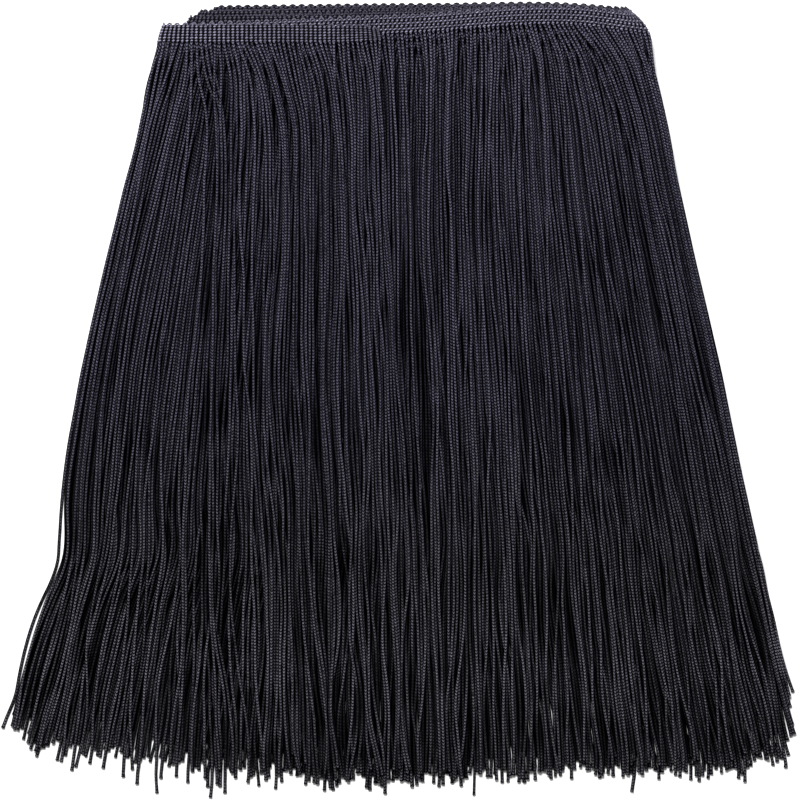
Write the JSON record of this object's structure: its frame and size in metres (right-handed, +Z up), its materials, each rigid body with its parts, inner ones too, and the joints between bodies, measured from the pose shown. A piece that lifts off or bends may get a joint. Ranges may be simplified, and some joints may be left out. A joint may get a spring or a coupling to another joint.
{
  "type": "fringe trim",
  "caption": "Long knitted-cord fringe trim with a narrow knitted heading, folded back and forth into layers and laid flat with its strands fanned out.",
  "frame": {"origin": "on the surface that the trim lies on, under the middle of its bounding box", "axes": "+X to the right across the folded trim as seen from above, +Y from the strands' ends towards the heading, +Z up from the surface"},
  "size_m": [0.4486, 0.4452, 0.0118],
  "materials": {
    "heading_yarn": "knitted black yarn with a navy cast and a slight sheen",
    "strand_yarn": "chain-knitted black cord with a navy cast and a slight sheen"
  },
  "bodies": {
    "root": {"heading": "heading_yarn", "fringe_1": "strand_yarn", "fringe_2": "strand_yarn", "fringe_3": "strand_yarn", "fringe_4": "strand_yarn", "fringe_5": "strand_yarn", "fringe_6": "strand_yarn", "fringe_7": "strand_yarn"}
  },
  "joints": []
}
